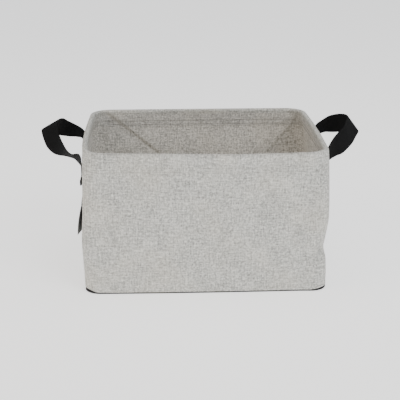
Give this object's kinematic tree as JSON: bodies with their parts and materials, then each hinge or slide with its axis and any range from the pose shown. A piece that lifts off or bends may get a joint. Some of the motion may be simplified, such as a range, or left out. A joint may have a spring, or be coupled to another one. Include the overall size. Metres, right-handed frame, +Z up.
{
  "type": "fabric storage bin",
  "caption": "Rectangular folding fabric storage bin, open at the top, with a wire-stiffened rim, board walls that fold inward and a webbing handle on each short side.",
  "frame": {"origin": "on the floor, under the middle of the bin", "axes": "+Z up, +X along the long side towards the right handle, -Y towards the front wall"},
  "size_m": [0.6042, 0.355, 0.2899],
  "materials": {
    "outer_cloth": "light grey heathered linen-look woven polyester",
    "lining_cloth": "light grey woven lining, slightly warmer than the outer cloth",
    "board": "grey paperboard",
    "base_cloth": "thin black non-woven cloth",
    "webbing": "black ribbed polypropylene webbing",
    "tag_cloth": "dark grey woven tag, blank",
    "rim_wire": "plain drawn steel wire",
    "rim_sleeve": "pale soft felt sleeve"
  },
  "bodies": {
    "base": {"base_cover": "base_cloth", "base_board": "board", "base_lining": "lining_cloth"},
    "left_lower": {"left_lower_board": "board", "left_lower_outer": "outer_cloth", "left_lower_lining": "lining_cloth", "tag_lower": "tag_cloth"},
    "left_upper": {"left_upper_board": "board", "left_upper_outer": "outer_cloth", "left_upper_lining": "lining_cloth", "hem_facing_left": "lining_cloth", "handle_left_tab_front": "webbing", "handle_left_tab_back": "webbing", "tag_upper": "tag_cloth"},
    "right_lower": {"right_lower_board": "board", "right_lower_outer": "outer_cloth", "right_lower_lining": "lining_cloth"},
    "right_upper": {"right_upper_board": "board", "right_upper_outer": "outer_cloth", "right_upper_lining": "lining_cloth", "hem_facing_right": "lining_cloth", "handle_right_tab_front": "webbing", "handle_right_tab_back": "webbing"},
    "front_lower": {"front_lower_board": "board", "front_lower_outer": "outer_cloth", "front_lower_lining": "lining_cloth"},
    "front_upper": {"front_upper_board": "board", "front_upper_outer": "outer_cloth", "front_upper_lining": "lining_cloth", "hem_facing_front": "lining_cloth"},
    "back_lower": {"back_lower_board": "board", "back_lower_outer": "outer_cloth", "back_lower_lining": "lining_cloth"},
    "back_upper": {"back_upper_board": "board", "back_upper_outer": "outer_cloth", "back_upper_lining": "lining_cloth", "hem_facing_back": "lining_cloth"},
    "rim": {"rim_casing": "outer_cloth", "rim_sleeve": "rim_sleeve", "rim_wire": "rim_wire"},
    "handle_left": {"handle_left_loop": "webbing"},
    "handle_right": {"handle_right_loop": "webbing"},
    "gusset_front_left_lower": {"gusset_front_left_lower": "outer_cloth"},
    "gusset_front_left_upper": {"gusset_front_left_upper": "outer_cloth"},
    "gusset_front_right_lower": {"gusset_front_right_lower": "outer_cloth"},
    "gusset_front_right_upper": {"gusset_front_right_upper": "outer_cloth"},
    "gusset_back_left_lower": {"gusset_back_left_lower": "outer_cloth"},
    "gusset_back_left_upper": {"gusset_back_left_upper": "outer_cloth"},
    "gusset_back_right_lower": {"gusset_back_right_lower": "outer_cloth"},
    "gusset_back_right_upper": {"gusset_back_right_upper": "outer_cloth"}
  },
  "joints": [
    {"name": "fold", "type": "hinge", "parent": "base", "child": "left_lower", "pos_m": [-0.2186, 0, 0.0054], "axis": [0, 1, 0], "range_deg": [0, 82]},
    {"name": "left_middle_fold", "type": "hinge", "parent": "left_lower", "child": "left_upper", "pos_m": [-0.221, 0, 0.13], "axis": [0, 1, 0], "range_deg": [-164, 0]},
    {"name": "left_top_fold", "type": "hinge", "parent": "left_upper", "child": "rim", "pos_m": [-0.2186, 0, 0.2546], "axis": [0, 1, 0], "range_deg": [0, 82]},
    {"name": "right_top_fold", "type": "hinge", "parent": "rim", "child": "right_upper", "pos_m": [0.2186, 0, 0.2546], "axis": [0, 1, 0], "range_deg": [0, 82]},
    {"name": "right_middle_fold", "type": "hinge", "parent": "right_upper", "child": "right_lower", "pos_m": [0.221, 0, 0.13], "axis": [0, 1, 0], "range_deg": [-164, 0]},
    {"name": "front_top_fold", "type": "hinge", "parent": "rim", "child": "front_upper", "pos_m": [0, -0.1726, 0.2546], "axis": [1, 0, 0], "range_deg": [0, 82]},
    {"name": "front_middle_fold", "type": "hinge", "parent": "front_upper", "child": "front_lower", "pos_m": [0, -0.175, 0.13], "axis": [1, 0, 0], "range_deg": [-164, 0]},
    {"name": "back_top_fold", "type": "hinge", "parent": "rim", "child": "back_upper", "pos_m": [0, 0.1726, 0.2546], "axis": [-1, 0, 0], "range_deg": [0, 82]},
    {"name": "back_middle_fold", "type": "hinge", "parent": "back_upper", "child": "back_lower", "pos_m": [0, 0.175, 0.13], "axis": [-1, 0, 0], "range_deg": [-164, 0]},
    {"name": "gusset_front_left_lower_fold", "type": "hinge", "parent": "front_lower", "child": "gusset_front_left_lower", "pos_m": [-0.2186, -0.175, 0.0054], "axis": [0.7071, 0, 0.7071], "range_deg": [0, 169], "deforming": ["gusset_front_left_lower"]},
    {"name": "gusset_front_left_upper_fold", "type": "hinge", "parent": "front_upper", "child": "gusset_front_left_upper", "pos_m": [-0.2186, -0.175, 0.2546], "axis": [-0.7071, 0, 0.7071], "range_deg": [0, 169], "deforming": ["gusset_front_left_upper"]},
    {"name": "gusset_front_right_lower_fold", "type": "hinge", "parent": "front_lower", "child": "gusset_front_right_lower", "pos_m": [0.2186, -0.175, 0.0054], "axis": [0.7071, 0, -0.7071], "range_deg": [0, 169], "deforming": ["gusset_front_right_lower"]},
    {"name": "gusset_front_right_upper_fold", "type": "hinge", "parent": "front_upper", "child": "gusset_front_right_upper", "pos_m": [0.2186, -0.175, 0.2546], "axis": [-0.7071, 0, -0.7071], "range_deg": [0, 169], "deforming": ["gusset_front_right_upper"]},
    {"name": "gusset_back_left_lower_fold", "type": "hinge", "parent": "back_lower", "child": "gusset_back_left_lower", "pos_m": [-0.2186, 0.175, 0.0054], "axis": [-0.7071, 0, -0.7071], "range_deg": [0, 169], "deforming": ["gusset_back_left_lower"]},
    {"name": "gusset_back_left_upper_fold", "type": "hinge", "parent": "back_upper", "child": "gusset_back_left_upper", "pos_m": [-0.2186, 0.175, 0.2546], "axis": [0.7071, 0, -0.7071], "range_deg": [0, 169], "deforming": ["gusset_back_left_upper"]},
    {"name": "gusset_back_right_lower_fold", "type": "hinge", "parent": "back_lower", "child": "gusset_back_right_lower", "pos_m": [0.2186, 0.175, 0.0054], "axis": [-0.7071, 0, 0.7071], "range_deg": [0, 169], "deforming": ["gusset_back_right_lower"]},
    {"name": "gusset_back_right_upper_fold", "type": "hinge", "parent": "back_upper", "child": "gusset_back_right_upper", "pos_m": [0.2186, 0.175, 0.2546], "axis": [0.7071, 0, 0.7071], "range_deg": [0, 169], "deforming": ["gusset_back_right_upper"]},
    {"name": "handle_left_swing", "type": "hinge", "parent": "rim", "child": "handle_left", "pos_m": [-0.233, 0, 0.23], "axis": [0, 1, 0], "range_deg": [-92, 42]},
    {"name": "handle_right_swing", "type": "hinge", "parent": "rim", "child": "handle_right", "pos_m": [0.233, 0, 0.23], "axis": [0, -1, 0], "range_deg": [-92, 42]}
  ],
  "couplings": [
    {"joint": "left_middle_fold", "follows": "fold", "ratio": -2},
    {"joint": "left_top_fold", "follows": "fold", "ratio": 1},
    {"joint": "right_top_fold", "follows": "fold", "ratio": 1},
    {"joint": "right_middle_fold", "follows": "fold", "ratio": -2},
    {"joint": "front_top_fold", "follows": "fold", "ratio": 1},
    {"joint": "front_middle_fold", "follows": "fold", "ratio": -2},
    {"joint": "back_top_fold", "follows": "fold", "ratio": 1},
    {"joint": "back_middle_fold", "follows": "fold", "ratio": -2},
    {"joint": "gusset_front_left_lower_fold", "follows": "fold", "ratio": 2.057},
    {"joint": "gusset_front_left_upper_fold", "follows": "fold", "ratio": 2.057},
    {"joint": "gusset_front_right_lower_fold", "follows": "fold", "ratio": 2.057},
    {"joint": "gusset_front_right_upper_fold", "follows": "fold", "ratio": 2.057},
    {"joint": "gusset_back_left_lower_fold", "follows": "fold", "ratio": 2.057},
    {"joint": "gusset_back_left_upper_fold", "follows": "fold", "ratio": 2.057},
    {"joint": "gusset_back_right_lower_fold", "follows": "fold", "ratio": 2.057},
    {"joint": "gusset_back_right_upper_fold", "follows": "fold", "ratio": 2.057}
  ]
}
